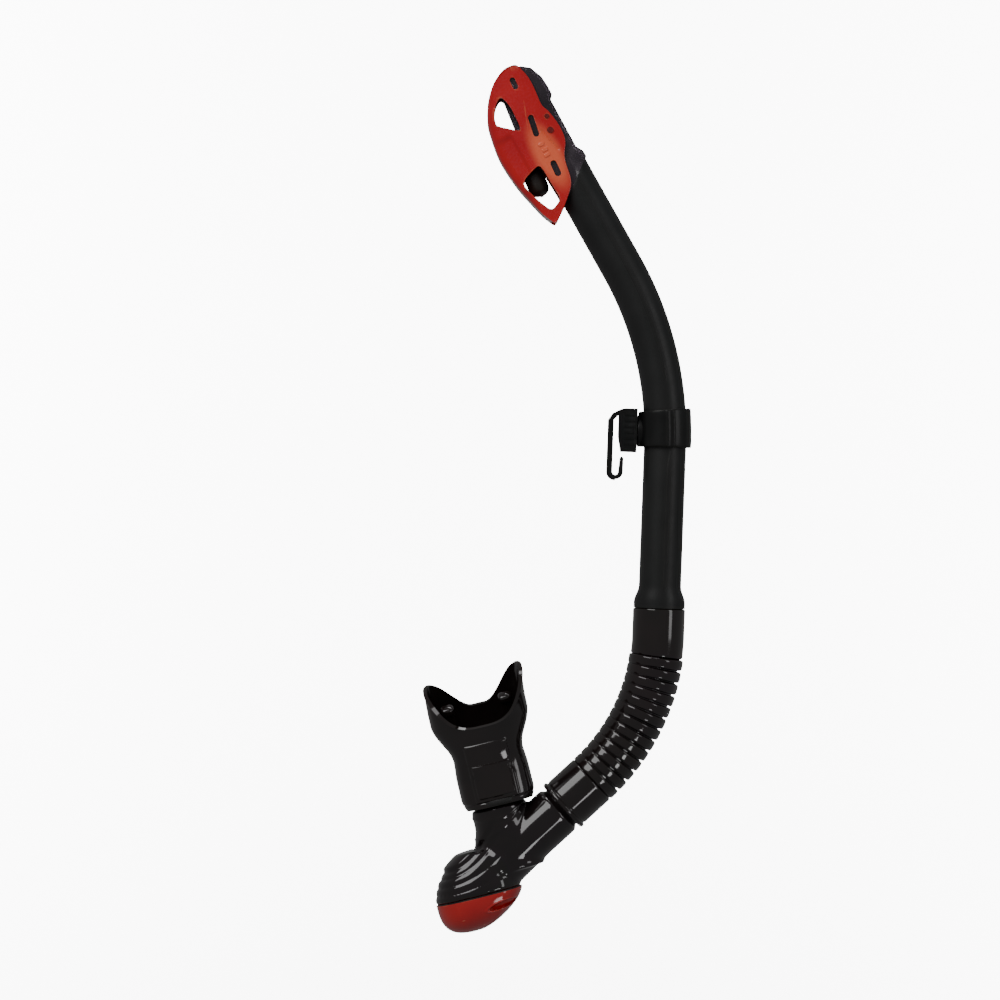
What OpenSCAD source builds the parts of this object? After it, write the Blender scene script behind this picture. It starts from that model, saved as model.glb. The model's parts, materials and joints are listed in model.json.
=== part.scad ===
// Dry-top snorkel: curved barrel, float-valve head, mask-strap keeper, corrugated hose,
// purge chamber and swivelling mouthpiece. Millimetres, +Z up, as worn by a swimmer face down.
// The origin is the centre of the bend at the bottom of the keeper's hook.

/* [Barrel] */
// Width of the oval barrel, front to back
barrel_w = 21.6; // [20:0.1:22.4]
// Width of the oval barrel, side to side
barrel_d = 25.0; // [24:0.1:25.6]
// Wall of the barrel
barrel_wall = 1.8; // [1.4:0.1:2.2]
// Radius of the long bend, at the middle of the barrel
bend_radius = 172.5; // [170:0.5:175]
// Angle that the barrel leans forward above the bend
lean = 31.4; // [30:0.1:33]

/* [Keeper] */
// Height of the band along the barrel
band_h = 18.9; // [17:0.1:20]
// Thickness of the band
band_wall = 2.3; // [1.8:0.1:2.6]
// Inner radius of the bend at the bottom of the hook
hook_radius = 1.65; // [1.5:0.05:1.8]

/* [Hose] */
// Outer diameter of the hose rings
ring_d = 28.0; // [27:0.1:28.4]
// Number of rings
ring_count = 13; // [11:1:14]
// Radius of the hose's bend, at its middle
hose_radius = 104; // [100:0.5:108]
// Angle of the hose's bend
hose_bend = 45.5; // [43:0.5:47]

/* [Purge chamber] */
// Width of the chamber's foot
foot_w = 45; // [43:0.5:46]
// Depth of the chamber's foot
foot_d = 34; // [32:0.5:36]
// Tilt of the chamber's foot
foot_tilt = 16; // [14:0.5:18]

/* [Mouthpiece] */
// Width of the lip flange
flange_w = 55; // [52:0.5:57]
// Height of the lip flange
flange_h = 26; // [24:0.5:28]
// Tilt of the mouthpiece towards the front
mouth_tilt = 15.5; // [14:0.5:17]
// Angle that the mouthpiece turns towards the wearer's mouth on its way to the lips
mouth_turn = 32; // [30:0.5:34]
// Radius of that turn
mouth_radius = 98; // [95:1:101]

/* [Hidden] */
$fn = 64;
// Far enough to cut right through any piece
far = 200;

// Barrel: the straight lower part, and where the long bend starts and ends
barrel_x = 25;
bend_z = 14.6;
bend_x = barrel_x - bend_radius;
head_x = bend_x + bend_radius * cos(lean);
head_z = bend_z + bend_radius * sin(lean);
bell_z = -68.7;
bell_r = 13.1;
spigot_r = 11.2;
spigot_end = -83;
bore_r = 9.3;
// The slanted joint between the barrel and the head
joint_tilt = 36.5;
joint_z = 48.5;
gasket_t = 0.8;
// The raised rib on each side of the bend
rib_w = 1.6;
rib_out = 0.35;

// Head, in the leaning frame of the barrel's top
shell_d = 23.4;
cover_d = 29;
cover_wall = 1.9;
shell_wall = 1.7;
arm_x = -9;
arm_z = 107.5;
arm_rest = 8;
seat_x = -5.2;

// Keeper
band_gap = 0.3;
band_mid = 2.74;
band_arc = band_h / bend_radius * 180 / PI;
band_w = barrel_w + 2 * (band_gap + band_wall);
hub_z = 21.3;
hook_t = 2.8;

// Hose, chamber and mouthpiece
hose_z = -83;
hose_x = barrel_x - hose_radius;
cuff_r = 13.3;
cuff_start = 5.7;
hose_bore_r = 9.8;
groove_r = 11.2;
lower_cuff_h = 21;
lower_cuff_r = 13.8;
foot_x = -61.5;
foot_z = -218;
port_x = -52.3;
port_z = -171.5;
port_r = 11.6;
fit = 0.06;
screw_x = 16.9;
chamber_inset = 7.4;

// The barrel's section: two half circles and a flat between them
module oval(w, d) {
    union() {
        for (side = [-1, 1]) translate([0, side * (d - w) / 2]) circle(d = w);
        square([w, d - w], center = true);
    }
}

module oval_ring(w, d, wall) {
    difference() {
        oval(w, d);
        oval(w - 2 * wall, d - 2 * wall);
    }
}

// An outline in the XZ plane, given a thickness along Y and centred on it
module slab(points, thick) {
    rotate([90, 0, 0]) linear_extrude(thick, center = true) polygon(points);
}

// A round pin along Y
module pin_y(x, z, r, length) {
    translate([x, 0, z]) rotate([90, 0, 0]) cylinder(r = r, h = length, center = true);
}

// A slot with round ends between two points of the XZ plane, right through along Y
module slot_y(from, to, width) {
    rotate([90, 0, 0]) linear_extrude(far, center = true) hull() {
        translate(from) circle(d = width, $fn = 24);
        translate(to) circle(d = width, $fn = 24);
    }
}

// A section swept round the barrel's bend, between two angles from its start
module along_bend(from, to) {
    translate([bend_x, 0, bend_z]) rotate([90, 0, 0])
        rotate_extrude(angle = to - from, start = from, $fn = 180)
            translate([bend_radius, 0]) children();
}

// A section swept round the hose's bend, between two angles from its start
module along_hose(from, to) {
    translate([hose_x, 0, hose_z]) rotate([-90, 0, 0])
        rotate_extrude(angle = to - from, start = from, $fn = 180)
            translate([hose_radius, 0]) children();
}

// The frame of the barrel's leaning top: X to the back, Z up the barrel
module in_head() {
    translate([head_x, 0, head_z]) rotate([0, -lean, 0]) children();
}

// The half space above the slanted joint, raised by some height
module above_joint(raise) {
    translate([0, 0, joint_z + raise]) rotate([0, -joint_tilt, 0])
        translate([-far / 2, -far / 2, 0]) cube(far);
}

// The frame of the float arm: its pin at the origin, the arm hanging down
module in_arm() {
    in_head() translate([arm_x, 0, arm_z]) rotate([0, arm_rest, 0]) children();
}

// The frame at the end of the hose's bend: Z back up the hose
module at_hose_end() {
    translate([hose_x, 0, hose_z]) rotate([0, hose_bend, 0])
        translate([hose_radius, 0, 0]) children();
}

// The frame of the chamber's foot: Z up from the joint with the cap
module in_foot() {
    translate([foot_x, 0, foot_z]) rotate([0, -foot_tilt, 0]) children();
}

// The frame of the mouthpiece's port: Z out of the chamber, X across the lips
module in_port() {
    translate([port_x, 0, port_z]) rotate([0, -mouth_tilt, 0]) children();
}

// The frame at some angle along the mouthpiece's turn: Z towards the lips
module at_turn(angle) {
    translate([0, -mouth_radius * (1 - cos(angle)), mouth_radius * sin(angle)])
        rotate([angle, 0, 0]) children();
}

// The foot's outline: two half circles joined by a flat
module foot_outline(inset) {
    w = foot_w - 2 * inset;
    d = foot_d - 2 * inset;
    union() {
        for (side = [-1, 1]) translate([side * (w - d) / 2, 0]) circle(d = d);
        square([w - d, d], center = true);
    }
}

// --- Barrel and head, which stay still ---

module barrel_tube() {
    // the leaning stretch is a hair wider and laps the bend a little, so that they join cleanly
    grow = 0.04;
    lap = 0.3;
    bore_w = barrel_w - 2 * barrel_wall;
    bore_d = barrel_d - 2 * barrel_wall;
    color("#222222") difference() {
        union() {
            translate([barrel_x, 0, -60]) linear_extrude(bend_z + 60) oval(barrel_w, barrel_d);
            along_bend(0, lean) oval(barrel_w, barrel_d);
            in_head() translate([0, 0, -lap]) linear_extrude(64) oval(barrel_w + grow, barrel_d + grow);
            // the bell that swells to the hose's diameter, and the spigot below it
            translate([barrel_x, 0, bell_z]) cylinder(r = bell_r, h = 2.7);
            translate([barrel_x, 0, bell_z + 2.7]) cylinder(r1 = bell_r, r2 = 12.5, h = 6);
            translate([barrel_x, 0, spigot_end]) cylinder(r = spigot_r, h = 20);
            // the raised rib on each side of the bend
            for (side = [-1, 1])
                along_bend(9, lean - 2)
                    translate([0, side * (barrel_d / 2 + rib_out - 0.5)])
                        square([rib_w, 1], center = true);
        }
        translate([barrel_x, 0, spigot_end - 1]) cylinder(r = bore_r, h = 24.5);
        translate([barrel_x, 0, -60]) linear_extrude(bend_z + 60) oval(bore_w, bore_d);
        along_bend(0, lean) oval(bore_w, bore_d);
        in_head() translate([0, 0, -lap]) linear_extrude(70) oval(bore_w + grow, bore_d + grow);
        in_head() above_joint(0);
    }
}

module head_gasket() {
    color("#0c0c0c") in_head() intersection() {
        translate([0, 0, 30]) linear_extrude(40) oval_ring(barrel_w, barrel_d, barrel_wall);
        difference() {
            above_joint(0);
            above_joint(gasket_t);
        }
    }
}

module head_shell() {
    back = [[11.4, 56], [11.2, 61], [9.2, 64.5], [9.6, 92], [11.5, 93.7], [11.6, 98.5],
        [11.2, 104], [8.6, 110.6], [4.4, 113.9]];
    front = [[-5.6, 113.5], [-5.6, 100], [-3, 98], [-3, 49.5], [-9.6, 46.5], [-10, 41]];
    in_back = [[9, 55], [7.6, 64], [8, 93], [9.8, 95], [9.6, 103.5], [7.4, 109.5], [3.8, 112.2]];
    in_front = [[-3.6, 111.8], [-1.2, 99], [-1.2, 48.4], [-8, 45.4], [-8, 41]];
    lug_d = 3;
    color("#2a2230") in_head() difference() {
        union() {
            intersection() {
                slab(concat(back, front), shell_d);
                above_joint(gasket_t);
            }
            intersection() {
                translate([0, 0, 30]) linear_extrude(31) oval(barrel_w, barrel_d);
                slab([[-10.8, 30], [-10.8, 46.5], [-3, 49.5], [-3, 61], [12, 61], [12, 30]], far);
                above_joint(gasket_t);
            }
            // two lugs that carry the float's pin
            for (side = [-1, 1]) translate([0, side * (shell_d - lug_d) / 2, 0])
                slab([[-5, 113.5], [-10, 111.5], [-12, 107.5], [-11, 104.5], [-5, 101]], lug_d);
        }
        intersection() {
            slab(concat(in_back, in_front), shell_d - 2 * shell_wall);
            above_joint(gasket_t);
        }
        intersection() {
            translate([0, 0, 30]) linear_extrude(31)
                oval(barrel_w - 2 * barrel_wall, barrel_d - 2 * barrel_wall);
            slab([[-10, 30], [-8, 45.4], [-1.2, 48.4], [-1.2, 61], [9, 60], [9, 30]], far);
        }
        // the intake that the seal pad closes
        translate([0, 0, 80]) rotate([0, -90, 0]) cylinder(r = 8.5, h = 10);
        pin_y(arm_x, arm_z, 1, far);
        for (at = [[3.6, 85, 1.2], [1.7, 78, 1.6]]) pin_y(at[0], at[1], at[2], far);
    }
}

module intake_seat() {
    color("#3c3440") in_head() translate([seat_x, 0, 80]) rotate([0, 90, 0]) difference() {
        union() {
            cylinder(r = 9.6, h = 2.2);
            cylinder(r = 8.5, h = 3.9);
        }
        translate([0, 0, -1]) cylinder(r = 7.2, h = 6);
    }
}

module top_cover() {
    edge = [[2.1, 116], [-4, 116.7], [-12, 112.9], [-18.5, 106.7], [-22.9, 99.9], [-25.4, 94.2],
        [-28.4, 77.5], [-27, 59.7], [-22.6, 42.3], [-19.2, 35]];
    back = [[-9.9, 41.6], [-1.4, 49.2], [0.8, 62.5], [6.1, 69.4], [7, 77.4], [5.6, 87.5],
        [3.8, 90.6], [5, 100], [5.2, 107], [3.3, 114.9]];
    hollow = [[20, 113.6], [-3.6, 114.6], [-11, 111.2], [-17, 105.4], [-21.2, 99],
        [-23.5, 93.6], [-26.4, 77.5], [-25.1, 60.1], [-20.8, 43], [-19.6, 30], [20, 30]];
    upper_window = [[-11.9, 105.3], [-16.4, 102.6], [-19.7, 98], [-21, 93.8], [-11.8, 84.6],
        [-10.7, 88.3], [-10.1, 98.4]];
    lower_window = [[-12.9, 65.5], [-11.3, 63.8], [-10.9, 50], [-10.7, 45], [-16.3, 42.3],
        [-18.4, 43.2], [-21.6, 51.1], [-24.4, 61.8]];
    color("#b41c20") in_head() difference() {
        slab(concat(edge, back), cover_d);
        slab(hollow, cover_d - 2 * cover_wall);
        slab(upper_window, far);
        slab(lower_window, far);
        slot_y([-3.9, 88.2], [-5.5, 79.8], 3);
        slot_y([-5.2, 62.4], [-5.6, 57], 3.2);
        slot_y([-2.7, 109.4], [-3, 105.8], 2.8);
        for (at = [[3.6, 85, 1.2], [1.7, 78, 1.6]]) pin_y(at[0], at[1], at[2], far);
    }
}

module cover_pins() {
    color("#6e1418") in_head() for (side = [-1, 1]) for (at = [[3.6, 85, 1.2], [1.7, 78, 1.6]])
        translate([0, side * (cover_d / 2 - 2), 0]) pin_y(at[0], at[1], at[2], 4.4);
}

module float_pin() {
    color("#9aa0a6") in_head() pin_y(arm_x, arm_z, 1, shell_d);
}

// --- Float arm, its float and its seal ---

module float_arm() {
    boss_r = 2.4;
    color("#5c5060") in_arm() difference() {
        union() {
            pin_y(0, 0, boss_r, 15);
            slab([[-2, 0], [1, -1], [0.6, -42], [-1.4, -42]], 8);
            slab([[-1, -18], [2.4, -20], [2.4, -35.5], [-1, -37.5]], 14);
        }
        pin_y(0, 0, 1 + fit, far);
    }
}

module seal_pad() {
    color("#101010") in_arm() translate([2.4, 0, -27.6]) rotate([0, 90, 0])
        cylinder(r = 9.4, h = 1.3);
}

module float_bulb() {
    color("#221a20") in_arm() difference() {
        intersection() {
            slab([[-6.4, -42.5], [3.4, -42], [3.9, -53.5], [0.6, -57.3], [-3.4, -57],
                [-6.8, -51.5]], 17);
            translate([-1.5, 0, -49.5]) sphere(r = 11.2);
        }
        slab([[-1.7, -41], [0.9, -41], [0.9, -46.2], [-1.7, -46.2]], 8.2);
    }
}

// --- Keeper: a band that slides along the bend, with a hook that swivels on it ---

module keeper_band() {
    boss_r = 8.4;
    color("#101010") difference() {
        union() {
            along_bend(band_mid - band_arc / 2, band_mid + band_arc / 2)
                oval(band_w, barrel_d + 2 * (band_gap + band_wall));
            // flat boss that carries the hook
            translate([10.6, 0, hub_z]) rotate([0, 90, 0]) cylinder(r = boss_r, h = 5);
            for (z = [13, 31.2]) translate([13.6, 0, z]) cube([4, 7, 3.6], center = true);
        }
        along_bend(-8, 14) oval(barrel_w + 2 * band_gap, barrel_d + 2 * band_gap);
        // grooves that the barrel's ribs run in
        for (side = [-1, 1]) along_bend(-8, 14)
            translate([0, side * (barrel_d / 2 + band_gap)])
                square([rib_w + 3 * band_gap, 4 * band_gap], center = true);
        translate([0, 0, hub_z]) rotate([0, 90, 0]) cylinder(r = 1.6, h = barrel_x);
    }
}

module keeper_rivet() {
    color("#8a8f94") translate([0, 0, hub_z]) rotate([0, 90, 0]) {
        translate([0, 0, 3.2]) cylinder(r = 3.2, h = 1.4);
        translate([0, 0, 4.4]) cylinder(r = 1.6, h = 9.2);
    }
}

module keeper_hook() {
    hub = [[0.9, 31.4], [4, 32.4], [10.3, 32.4], [10.3, 10.2], [2.4, 10.2], [0.9, 18]];
    outer = hook_radius + hook_t;
    hub_d = 16;
    hook_d = 12;
    color("#101010") difference() {
        union() {
            slab(hub, hub_d);
            // the shank, hung from the hub's top corner
            slab([[-outer, 0], [-hook_radius, 0], [-hook_radius, 26.5], [-outer, 26.5]], hook_d);
            slab([[-outer, 26.4], [-hook_radius, 26.4], [0.95, 29], [3.2, 32.4], [1.2, 31.6],
                [-2.2, 29.8]], hook_d);
            // the round bend and the short prong
            rotate([90, 0, 0]) rotate_extrude(angle = 180, start = 180)
                translate([hook_radius, -hook_d / 2]) square([hook_t - 0.6, hook_d]);
            rotate([90, 0, 0]) rotate_extrude(angle = 90, start = 180)
                translate([hook_radius, -hook_d / 2]) square([hook_t, hook_d]);
            slab([[hook_radius, 0], [hook_radius + hook_t - 0.6, 0], [3.9, 7], [3, 7.9],
                [2.2, 7.2]], hook_d);
        }
        translate([0, 0, hub_z]) rotate([0, 90, 0]) {
            cylinder(r = 1.6 + fit, h = 20);
            cylinder(r = 3.2 + 2 * fit, h = 4.7);
        }
        // finger ribs cut across the hub
        for (z = [13.5 : 3 : 30]) for (side = [-1, 1])
            translate([6.5, side * hub_d / 2, z]) cube([5, 0.8, 1], center = true);
    }
}

// --- Hose: a soft moulding with a cuff at each end ---

module hose_upper_cuff() {
    color("#1a1211") difference() {
        union() {
            translate([barrel_x, 0, hose_z]) cylinder(r = cuff_r, h = bell_z - 0.15 - hose_z);
            along_hose(0, cuff_start) circle(r = cuff_r);
        }
        translate([barrel_x, 0, hose_z - 0.2]) cylinder(r = spigot_r + fit, h = 20);
        along_hose(0, cuff_start + 1) circle(r = hose_bore_r);
    }
}

module flex_hose() {
    step = (hose_bend - cuff_start) / ring_count;
    ring_h = 2.9;
    color("#1a1211") difference() {
        union() {
            along_hose(cuff_start, hose_bend) circle(r = groove_r);
            for (i = [0 : ring_count - 1])
                translate([hose_x, 0, hose_z]) rotate([0, cuff_start + (i + 0.5) * step, 0])
                    translate([hose_radius, 0, 0]) cylinder(d = ring_d, h = ring_h, center = true);
        }
        along_hose(cuff_start - 1, hose_bend + 1) circle(r = hose_bore_r);
    }
}

module hose_lower_cuff() {
    lip_h = 1.6;
    color("#1a1211") at_hose_end() translate([0, 0, -lower_cuff_h]) difference() {
        union() {
            cylinder(r = lower_cuff_r, h = lower_cuff_h);
            cylinder(r = lower_cuff_r + 0.7, h = lip_h);
        }
        translate([0, 0, -1]) cylinder(r = spigot_r, h = lower_cuff_h - 4);
        cylinder(r = hose_bore_r, h = far);
    }
}

// --- Purge chamber ---

module purge_housing() {
    neck_r = 13.4;
    neck_l = 52;
    step_h = 4.2;
    color("#140f10") difference() {
        union() {
            at_hose_end() translate([0, 0, -lower_cuff_h - neck_l])
                cylinder(r = neck_r, h = neck_l);
            at_hose_end() translate([0, 0, -lower_cuff_h - 1]) cylinder(r = spigot_r, h = 17);
            // the foot rises in steps that close in towards the neck
            in_foot() for (i = [0 : 3])
                translate([i * 1.1, 0, 0]) linear_extrude((i + 1) * step_h) foot_outline(i * 1.3);
            in_foot() translate([6.5, 0, 0]) linear_extrude(20.5) foot_outline(6.5);
            // the port, and the collar that the mouthpiece sits on
            in_port() translate([0, 0, -24]) cylinder(r = port_r + 1.2, h = 24);
            in_port() translate([0, 0, -4]) cylinder(r = 15, h = 4);
            in_port() cylinder(r = port_r, h = 12);
        }
        at_hose_end() translate([0, 0, -lower_cuff_h - 38]) cylinder(r = bore_r, h = 60);
        in_port() translate([0, 0, -20]) cylinder(r = bore_r, h = 40);
        in_foot() translate([0, 0, -1]) linear_extrude(step_h + 10) foot_outline(chamber_inset);
        in_foot() translate([0, 0, -far / 2]) cube(far, center = true);
        in_foot() for (side = [-1, 1]) translate([side * screw_x, 0, -1]) cylinder(r = 1, h = 7);
    }
}

module cap_gasket() {
    color("#0a0a0a") in_foot() translate([0, 0, -0.6]) linear_extrude(0.6) difference() {
        foot_outline(0.8);
        foot_outline(chamber_inset - 0.2);
        for (side = [-1, 1]) translate([side * screw_x, 0]) circle(r = 1);
    }
}

module purge_seat() {
    color("#2c2c30") in_foot() translate([0, 0, -2.6]) difference() {
        linear_extrude(2) foot_outline(2.2);
        for (turn = [0 : 60 : 300]) rotate([0, 0, turn]) intersection() {
            translate([0, 0, -1]) rotate_extrude() translate([4, 0]) square([7.5, 4]);
            translate([0, 0.9, -1]) cube([20, 20, 5]);
            rotate([0, 0, 60]) translate([0, -20.9, -1]) cube([20, 20, 5]);
        }
        translate([0, 0, -1]) cylinder(r = 1.5 + fit, h = 6);
        for (side = [-1, 1]) translate([side * screw_x, 0, -1]) cylinder(r = 1, h = 7);
    }
}

module purge_valve() {
    color("#c9c4bd") in_foot() translate([0, 0, -2.6]) {
        translate([0, 0, -1.1]) cylinder(r = 13, h = 1);
        translate([0, 0, -0.8]) cylinder(r = 1.5, h = 4.4);
        translate([0, 0, 3.6]) cylinder(r1 = 2.1, r2 = 1.2, h = 2);
    }
}

module purge_cap() {
    bowl_r = 24;
    wall = 1.8;
    vent = [15, 30, 3.2];
    color("#9b2626") in_foot() difference() {
        intersection() {
            translate([0, 0, -20]) linear_extrude(19.4) foot_outline(0);
            translate([-3, 0, 5]) sphere(r = bowl_r);
        }
        intersection() {
            translate([0, 0, -20]) linear_extrude(19.5) foot_outline(wall);
            translate([-3, 0, 5]) sphere(r = bowl_r - wall);
        }
        translate([0, 0, -2.7]) linear_extrude(3) foot_outline(2.1);
        // pockets for the screws' heads
        for (side = [-1, 1]) translate([side * screw_x, 0, -3.8]) cylinder(r = 1.8, h = 3);
        // the exhaust slots near the joint
        for (side = [-1, 1]) translate([10.5, side * foot_d / 2, -6.2]) cube(vent, center = true);
    }
}

module cap_screws() {
    color("#8a8f94") in_foot() for (side = [-1, 1]) translate([side * screw_x, 0, 0]) {
        translate([0, 0, -3.6]) cylinder(r = 1.6, h = 1);
        translate([0, 0, -2.8]) cylinder(r = 1, h = 7.6);
    }
}

// --- Mouthpiece ---

// A block with rounded sides: the section of the mouthpiece across its airway
module lip_block(w, h, thick) {
    linear_extrude(thick) union() {
        for (side = [-1, 1]) translate([side * (w - h) / 2, 0]) circle(d = h, $fn = 32);
        square([w - h, h], center = true);
    }
}

module mouthpiece() {
    wall = 2.2;
    lip_r = 25.5;
    tip = 20.5;
    inner_d = flange_h - 2 * wall;
    // sections up to the lips: angle along the turn, width, depth
    flare = [[6, 38, 30], [17, 36.5, 27], [23, 42, 26], [29, 53, flange_h]];
    color("#171010") in_port() {
        difference() {
            union() {
                translate([0, 0, 0.2]) cylinder(r = 15.6, h = 6);
                translate([0, 0, 4]) lip_block(38, 30, 7);
                for (i = [0 : 2]) hull() for (at = [flare[i], flare[i + 1]])
                    at_turn(at[0]) lip_block(at[1], at[2], 0.5);
                hull() {
                    at_turn(29) lip_block(53, flange_h, 0.5);
                    at_turn(mouth_turn) lip_block(flange_w, flange_h, 4);
                    at_turn(mouth_turn) lip_block(flange_w - 6, flange_h, tip);
                }
            }
            translate([0, 0, -1]) cylinder(r = port_r + fit, h = 14);
            hull() {
                translate([0, 0, 8]) lip_block(22, 18, 1);
                at_turn(27) lip_block(26, 16, 1);
            }
            // the cup behind the lips
            hull() {
                at_turn(26) lip_block(30, 15, 1);
                at_turn(31) lip_block(flange_w - 2 * wall, inner_d, 1);
                at_turn(mouth_turn) lip_block(flange_w - 6 - 2 * wall, inner_d, tip + 5);
            }
            // the lips dip in the middle, to follow the jaw
            at_turn(mouth_turn) translate([0, 0, lip_r]) rotate([90, 0, 0])
                cylinder(r = lip_r, h = far, center = true);
        }
        // two tabs that the teeth hold
        for (side = [-1, 1]) at_turn(27) translate([side * 15, 0, -2]) {
            translate([-3, -1.6, 0]) cube([6, 3.2, 13]);
            translate([-3, -3, 10.4]) cube([6, 6, 2.6]);
        }
    }
}

module mouthpiece_clamp() {
    color("#0c0c0c") in_port() translate([0, 0, 1]) {
        difference() {
            cylinder(r = 16.4, h = 2.4);
            translate([0, 0, -1]) cylinder(r = 15.6, h = 5);
        }
        translate([0, 15.8, 0]) rotate([0, 0, 45]) cube([2.2, 2.2, 2.4]);
    }
}

barrel_tube();
head_shell();
head_gasket();
intake_seat();
top_cover();
cover_pins();
float_pin();
float_arm();
float_bulb();
seal_pad();
keeper_band();
keeper_rivet();
keeper_hook();
hose_upper_cuff();
flex_hose();
hose_lower_cuff();
purge_housing();
purge_seat();
purge_valve();
cap_gasket();
purge_cap();
cap_screws();
mouthpiece();
mouthpiece_clamp();
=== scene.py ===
import json
import math

import bmesh
import bpy
import numpy as np
from mathutils import Matrix, Vector


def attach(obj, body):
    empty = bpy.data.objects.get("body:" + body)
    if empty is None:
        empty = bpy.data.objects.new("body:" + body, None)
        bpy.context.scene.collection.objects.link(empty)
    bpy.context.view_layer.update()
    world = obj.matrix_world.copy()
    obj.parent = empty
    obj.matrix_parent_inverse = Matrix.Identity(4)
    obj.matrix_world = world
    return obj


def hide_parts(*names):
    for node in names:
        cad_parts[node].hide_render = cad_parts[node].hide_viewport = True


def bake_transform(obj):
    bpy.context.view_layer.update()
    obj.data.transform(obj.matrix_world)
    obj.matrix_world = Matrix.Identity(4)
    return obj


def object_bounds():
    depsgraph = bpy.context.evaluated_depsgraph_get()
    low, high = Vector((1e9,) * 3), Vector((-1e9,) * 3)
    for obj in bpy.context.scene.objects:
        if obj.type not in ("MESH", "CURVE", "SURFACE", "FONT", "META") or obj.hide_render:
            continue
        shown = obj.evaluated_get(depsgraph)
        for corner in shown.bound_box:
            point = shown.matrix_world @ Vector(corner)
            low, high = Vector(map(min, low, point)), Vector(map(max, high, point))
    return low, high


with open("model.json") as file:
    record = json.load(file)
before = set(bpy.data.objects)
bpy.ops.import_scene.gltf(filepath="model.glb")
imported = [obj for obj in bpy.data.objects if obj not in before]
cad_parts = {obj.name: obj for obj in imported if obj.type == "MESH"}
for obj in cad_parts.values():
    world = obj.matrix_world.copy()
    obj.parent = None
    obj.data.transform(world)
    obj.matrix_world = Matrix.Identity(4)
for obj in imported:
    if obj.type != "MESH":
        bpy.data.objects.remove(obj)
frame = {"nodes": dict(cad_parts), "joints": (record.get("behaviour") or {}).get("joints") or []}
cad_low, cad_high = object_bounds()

nodes = frame["nodes"]
joints = {joint["name"]: joint for joint in frame["joints"]}
MM = 0.001


# ---------------------------------------------------------------------------------------------
# Camera: level with the middle of the snorkel, on the swimmer's left, rolled a little so that the
# straight part of the barrel leans as it does when the snorkel hangs from a mask.

camera = bpy.data.objects.new("camera", bpy.data.cameras.new("camera"))
bpy.context.scene.collection.objects.link(camera)
bpy.context.scene.camera = camera
camera_distance = 2.6
view_width = 0.51
camera.data.lens = camera.data.sensor_width * camera_distance / view_width
camera.data.clip_end = 20
view_centre = Vector((-58.1 * MM, 0, -16.6 * MM))
camera_roll = math.radians(-2.09)
camera.matrix_world = (
    Matrix.Translation(view_centre - Vector((0, camera_distance, 0)))
    @ Matrix.Rotation(camera_roll, 4, "Y")
    @ Matrix.Rotation(math.radians(90), 4, "X")
)


# ---------------------------------------------------------------------------------------------
# Floor: a white sweep of paper that runs under the object and curves up behind it. The object
# hangs clear of it, as it would from a swimmer's mask strap.

def sweep_of_paper():
    """A strip along X whose profile is a level floor, a quarter circle and an upright wall."""
    drop, radius, back, half = 0.42, 1.1, 1.4, 6.0
    floor_z = cad_low.z - drop
    turn = np.linspace(0, np.pi / 2, 24)
    y = np.concatenate(([-6.0], back + radius * np.sin(turn), [back + radius]))
    z = np.concatenate(([floor_z], floor_z + radius * (1 - np.cos(turn)), [floor_z + 6.0]))
    side = np.array([-half, half])
    points = np.stack(np.broadcast_arrays(side[:, None], y, z), axis=-1)
    index = np.arange(points.shape[0] * points.shape[1]).reshape(points.shape[:2])
    faces = np.stack((index[1:, :-1], index[1:, 1:], index[:-1, 1:], index[:-1, :-1]), axis=-1)
    mesh = bpy.data.meshes.new("paper")
    mesh.from_pydata(points.reshape(-1, 3), [], faces.reshape(-1, 4).tolist())
    mesh.shade_smooth()
    return bpy.data.objects.new("paper", mesh)


paper = sweep_of_paper()
bpy.context.scene.collection.objects.link(paper)
paper_white = bpy.data.materials.new("paper_white")
paper_white.use_nodes = True
paper_shader = paper_white.node_tree.nodes["Principled BSDF"]
paper_shader.inputs["Base Color"].default_value = (0.92, 0.92, 0.92, 1)
paper_shader.inputs["Roughness"].default_value = 0.9
paper_shader.inputs["Specular IOR Level"].default_value = 0.1
paper.data.materials.append(paper_white)
# the paper shows as the background, and only the boxes and the room light the object
paper.visible_glossy = False
paper.visible_diffuse = False


# ---------------------------------------------------------------------------------------------
# Light: a dim white studio. Square soft boxes draw the highlights on the glossy mouldings, a wide
# wash from each side brings out the colours, and two boxes light the paper.

world = bpy.data.worlds.new("studio")
world.use_nodes = True
world.node_tree.nodes["Background"].inputs["Color"].default_value = (1, 1, 1, 1)
world.node_tree.nodes["Background"].inputs["Strength"].default_value = 0.2
bpy.context.scene.world = world


def soft_box(name, place, aim, width, height, watts):
    """A square soft box at a place, turned to face the point that it is aimed at."""
    light = bpy.data.lights.new(name, "AREA")
    light.shape = "RECTANGLE"
    light.size = width
    light.size_y = height
    light.energy = watts
    lamp = bpy.data.objects.new(name, light)
    direction = Vector(aim) - Vector(place)
    lamp.matrix_world = Matrix.Translation(place) @ direction.to_track_quat("-Z", "Y").to_matrix().to_4x4()
    bpy.context.scene.collection.objects.link(lamp)
    return lamp


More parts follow.
